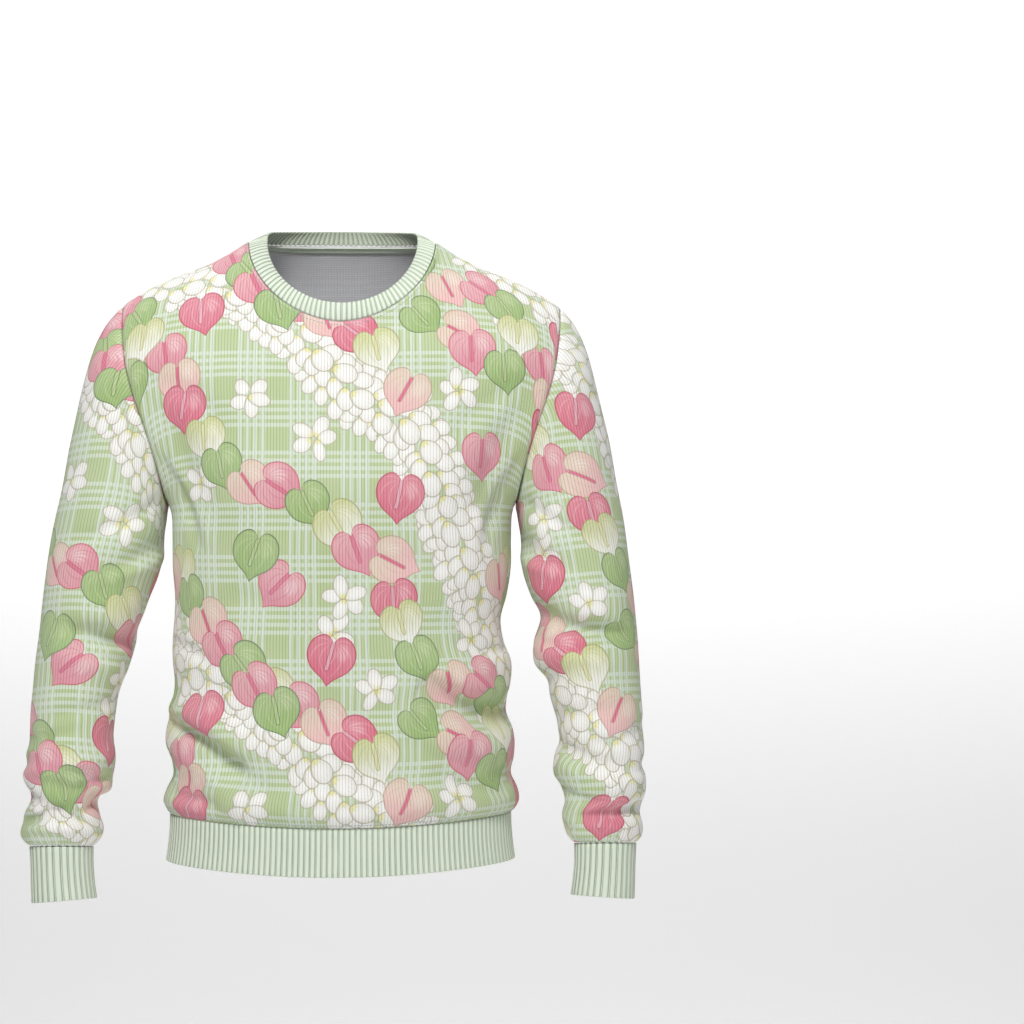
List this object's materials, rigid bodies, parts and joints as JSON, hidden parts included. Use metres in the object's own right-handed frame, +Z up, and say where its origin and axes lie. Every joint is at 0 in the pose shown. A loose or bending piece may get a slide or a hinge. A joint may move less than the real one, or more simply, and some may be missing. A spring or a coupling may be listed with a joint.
{
  "type": "crew-neck sweater",
  "caption": "Long-sleeved crew-neck pullover of printed knit with ribbed neck, hem and cuffs, held open as when worn, hollow and empty.",
  "frame": {"origin": "middle of the neck opening, level with the two points where the shoulder seams meet the neck rib and on the line between them", "axes": "+Z up as worn, the front faces -Y, +X towards the wearer's left"},
  "size_m": [0.6651, 0.2479, 0.7283],
  "materials": {
    "printed_knit": "matte fine knit, printed all over on a green ground, grey inside",
    "rib_knit": "matte mint rib knit",
    "neck_tape": "matte grey-green knitted tape"
  },
  "bodies": {
    "root": {"front_panel": "printed_knit", "back_panel": "printed_knit", "right_sleeve": "printed_knit", "left_sleeve": "printed_knit", "hem_rib": "rib_knit", "right_cuff": "rib_knit", "left_cuff": "rib_knit", "neck_rib": "rib_knit", "neck_tape": "neck_tape"}
  },
  "joints": []
}
